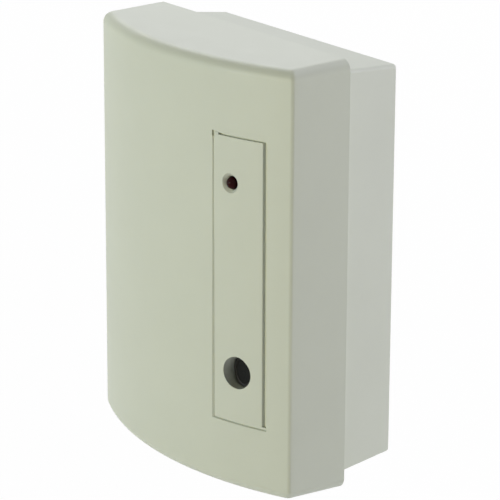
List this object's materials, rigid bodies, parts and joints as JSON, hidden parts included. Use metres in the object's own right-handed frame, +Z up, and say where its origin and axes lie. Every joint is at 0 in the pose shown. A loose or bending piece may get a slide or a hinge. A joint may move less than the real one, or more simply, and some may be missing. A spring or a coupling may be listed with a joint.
{
  "type": "glass break sensor",
  "caption": "Wall-mounted acoustic glass break sensor: bow-fronted clip-on cover over a tapered base, with a flush strip for the indicator and microphone.",
  "frame": {"origin": "middle of the back face, in the plane of the wall", "axes": "+Z up, +Y into the wall, the front looks along -Y, +X to the right seen from the front"},
  "size_m": [0.08, 0.0436, 0.108],
  "materials": {
    "rear_base": "satin moulded",
    "front_cover": "satin moulded",
    "front_strip": "satin moulded",
    "indicator_led": "clear dark red",
    "led_spacer": "moulded",
    "led_leads": "tinned",
    "microphone_boot": "matte",
    "microphone_capsule": "drawn can",
    "microphone_felt": "felt",
    "circuit_board": "solder mask",
    "board_screws": "zinc plated",
    "terminal_block": "moulded",
    "terminal_screws": "zinc plated",
    "terminal_clamps": "nickel plated",
    "tamper_switch": "moulded",
    "tamper_plunger": "moulded",
    "alarm_relay": "moulded",
    "processor_chip": "moulded",
    "processor_pins": "tinned",
    "amplifier_chip": "moulded",
    "amplifier_pins": "tinned",
    "electrolytic_capacitors": "sleeved",
    "crystal_can": "nickel plated",
    "voltage_regulator": "moulded",
    "jumper_header": "moulded",
    "jumper_pins": "gold flash",
    "jumper_links": "moulded",
    "chip_resistors": "glazed",
    "chip_capacitors": "ceramic",
    "supply_diodes": "moulded"
  },
  "bodies": {
    "housing": {"rear_base": "rear_base", "front_cover": "front_cover", "front_strip": "front_strip", "indicator_led": "indicator_led", "led_spacer": "led_spacer", "led_leads": "led_leads", "microphone_boot": "microphone_boot", "microphone_capsule": "microphone_capsule", "microphone_felt": "microphone_felt", "circuit_board": "circuit_board", "board_screws": "board_screws", "terminal_block": "terminal_block", "terminal_screws": "terminal_screws", "terminal_clamps": "terminal_clamps", "tamper_switch": "tamper_switch", "alarm_relay": "alarm_relay", "processor_chip": "processor_chip", "processor_pins": "processor_pins", "amplifier_chip": "amplifier_chip", "amplifier_pins": "amplifier_pins", "electrolytic_capacitors": "electrolytic_capacitors", "crystal_can": "crystal_can", "voltage_regulator": "voltage_regulator", "jumper_header": "jumper_header", "jumper_pins": "jumper_pins", "jumper_links": "jumper_links", "chip_resistors": "chip_resistors", "chip_capacitors": "chip_capacitors", "supply_diodes": "supply_diodes"},
    "tamper_plunger": {"tamper_plunger": "tamper_plunger"}
  },
  "joints": [
    {"name": "tamper_press", "type": "slide", "parent": "housing", "child": "tamper_plunger", "axis": [0, 1, 0], "range_m": [0, 0.0008], "stiffness_N_per_m": 300, "springref_m": -0.002}
  ]
}
